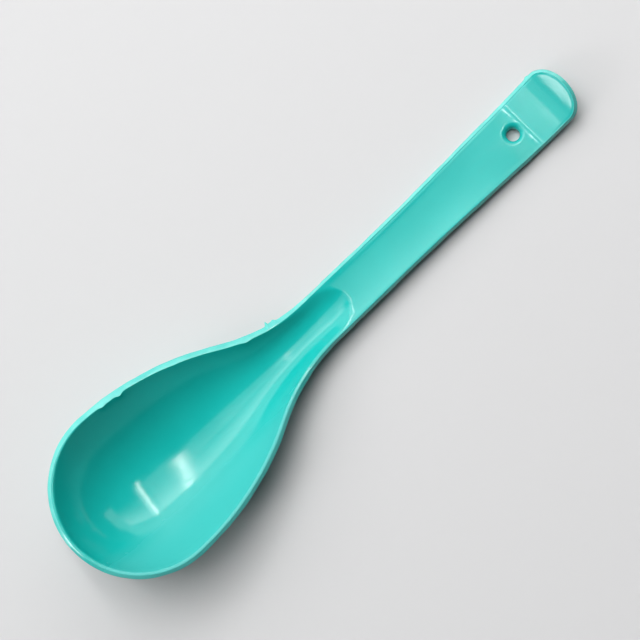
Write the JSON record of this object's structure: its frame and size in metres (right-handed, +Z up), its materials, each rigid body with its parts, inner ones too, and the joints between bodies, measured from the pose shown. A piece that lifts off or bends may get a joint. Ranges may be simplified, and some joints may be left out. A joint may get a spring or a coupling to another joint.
{
  "type": "plastic serving spoon",
  "caption": "One-piece moulded serving spoon: deep egg-shaped bowl, flat flared handle with a hanging hole and a turned-up end.",
  "frame": {"origin": "centre of the bounding box on the floor plane, with the spoon lying at rest on its bowl and the far end of its handle", "axes": "+X along the spoon from the bowl's tip to the handle's end, +Y across it to the left of that direction, +Z up"},
  "size_m": [0.245, 0.0672, 0.0322],
  "materials": {
    "teal_plastic": "gloss"
  },
  "bodies": {
    "root": {"spoon": "teal_plastic"}
  },
  "joints": []
}
